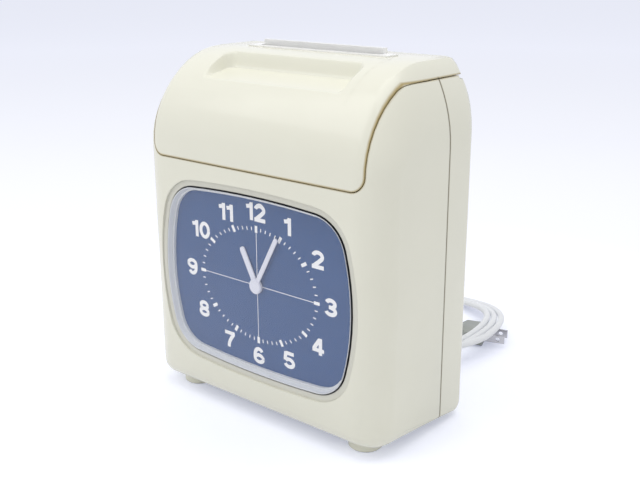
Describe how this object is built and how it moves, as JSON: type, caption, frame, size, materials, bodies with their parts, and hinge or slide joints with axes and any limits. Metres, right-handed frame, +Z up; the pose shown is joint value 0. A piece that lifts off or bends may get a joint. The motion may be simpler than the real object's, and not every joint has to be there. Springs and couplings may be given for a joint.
{
  "type": "time clock",
  "caption": "Desk time recorder: round-shouldered moulded case with an analogue clock face, a hinged lid with card slot and finger recess, card feed, dot printer and coiled mains lead.",
  "frame": {"origin": "on the table, below the middle of the case", "axes": "+X to the right seen from the front, +Y to the rear, +Z up"},
  "size_m": [0.2092, 0.2816, 0.2415],
  "materials": {
    "ivory_plastic": "fine satin moulding",
    "guide_plastic": "satin moulding",
    "clear_plastic": "clear polished plate",
    "frame_plastic": "satin",
    "dial_paint": "matt navy with white printing",
    "hand_paint": "white enamel",
    "movement_brass": "brushed",
    "steel": "bright steel",
    "sheet_steel": "zinc-plated sheet",
    "motor_can": "satin grey",
    "roller_rubber": "ground rubber",
    "gear_plastic": "moulded acetal",
    "black_plastic": "satin black",
    "head_metal": "cast",
    "ribbon_cloth": "inked cloth",
    "knob_plastic": "moulded",
    "board_laminate": "solder mask",
    "chip_plastic": "moulded",
    "transformer_core": "varnished core",
    "cord_sheath": "matt vinyl sheath",
    "plug_vinyl": "matt vinyl",
    "blade_brass": "bright"
  },
  "bodies": {
    "case": {"front_case": "ivory_plastic", "rear_case": "ivory_plastic", "feet": "ivory_plastic", "hinge_pins": "steel", "case_screws": "steel", "dial_screws": "steel", "movement_screws": "steel", "frame_screws": "steel", "guide_rods": "steel", "board_screws": "steel", "lens": "clear_plastic", "dial_frame": "frame_plastic", "dial": "dial_paint", "movement_front_plate": "movement_brass", "movement_rear_plate": "movement_brass", "movement_pillars": "movement_brass", "stepper_motor": "motor_can", "feed_motor": "motor_can", "carriage_motor": "motor_can", "chute_front": "sheet_steel", "chute_rear": "sheet_steel", "printer_frame": "sheet_steel", "platen": "roller_rubber", "ribbon_cassette": "black_plastic", "ribbon": "ribbon_cloth", "main_board": "board_laminate", "board_parts": "chip_plastic", "transformer": "transformer_core", "cord_bushing": "cord_sheath", "power_cord": "cord_sheath", "cord_coil": "cord_sheath", "plug_lead": "cord_sheath", "plug_body": "plug_vinyl", "plug_blades": "blade_brass"},
    "lid": {"top_cover": "ivory_plastic", "card_slot_guide": "guide_plastic"},
    "minute": {"minute_arbor": "steel", "minute_wheel": "movement_brass", "minute_hand": "hand_paint", "hand_cap": "hand_paint"},
    "hour": {"hour_wheel": "movement_brass", "hour_hand": "hand_paint"},
    "motion": {"motion_wheel": "movement_brass"},
    "motor_rotor": {"motor_pinion": "steel"},
    "feed": {"feed_shaft": "steel", "feed_rollers": "roller_rubber", "feed_gear": "gear_plastic"},
    "feed_drive": {"feed_pinion": "steel"},
    "pinch": {"pinch_shaft": "steel", "pinch_rollers": "roller_rubber"},
    "screw": {"lead_screw": "steel"},
    "carriage": {"print_carriage": "black_plastic", "print_head": "head_metal"},
    "ribbon_drive": {"ribbon_knob": "knob_plastic"}
  },
  "joints": [
    {"name": "lid_open", "type": "hinge", "parent": "case", "child": "lid", "pos_m": [0, 0.046, 0.2265], "axis": [-1, 0, 0], "range_deg": [0, 56]},
    {"name": "minute_turn", "type": "hinge", "parent": "case", "child": "minute", "pos_m": [0, -0.039, 0.094], "axis": [0, 1, 0], "continuous": true},
    {"name": "hour_turn", "type": "hinge", "parent": "case", "child": "hour", "pos_m": [0, -0.042, 0.094], "axis": [0, 1, 0], "continuous": true},
    {"name": "motion_turn", "type": "hinge", "parent": "case", "child": "motion", "pos_m": [-0.01039, -0.038, 0.088], "axis": [0, 1, 0], "continuous": true},
    {"name": "motor_turn", "type": "hinge", "parent": "case", "child": "motor_rotor", "pos_m": [0.01353, -0.027, 0.09892], "axis": [0, 1, 0], "continuous": true},
    {"name": "feed_turn", "type": "hinge", "parent": "case", "child": "feed", "pos_m": [0, 0.01085, 0.15], "axis": [1, 0, 0], "continuous": true},
    {"name": "feed_drive_turn", "type": "hinge", "parent": "case", "child": "feed_drive", "pos_m": [0.07, -0.00273, 0.13642], "axis": [1, 0, 0], "continuous": true},
    {"name": "pinch_turn", "type": "hinge", "parent": "case", "child": "pinch", "pos_m": [0, 0.02515, 0.15], "axis": [1, 0, 0], "continuous": true},
    {"name": "screw_turn", "type": "hinge", "parent": "case", "child": "screw", "pos_m": [0, -0.011, 0.182], "axis": [1, 0, 0], "range_deg": [-1030, 1030]},
    {"name": "carriage_slide", "type": "slide", "parent": "case", "child": "carriage", "axis": [1, 0, 0], "range_m": [-0.034, 0.034]},
    {"name": "ribbon_turn", "type": "hinge", "parent": "case", "child": "ribbon_drive", "pos_m": [-0.04, -0.009, 0.211], "axis": [0, 0, 1], "continuous": true}
  ],
  "couplings": [
    {"joint": "hour_turn", "follows": "minute_turn", "ratio": 0.083333},
    {"joint": "motion_turn", "follows": "minute_turn", "ratio": -0.33333},
    {"joint": "motor_turn", "follows": "minute_turn", "ratio": -8},
    {"joint": "feed_drive_turn", "follows": "feed_turn", "ratio": -3},
    {"joint": "pinch_turn", "follows": "feed_turn", "ratio": -1.3333},
    {"joint": "screw_turn", "follows": "carriage_slide", "rad_per_m": 523.6}
  ]
}
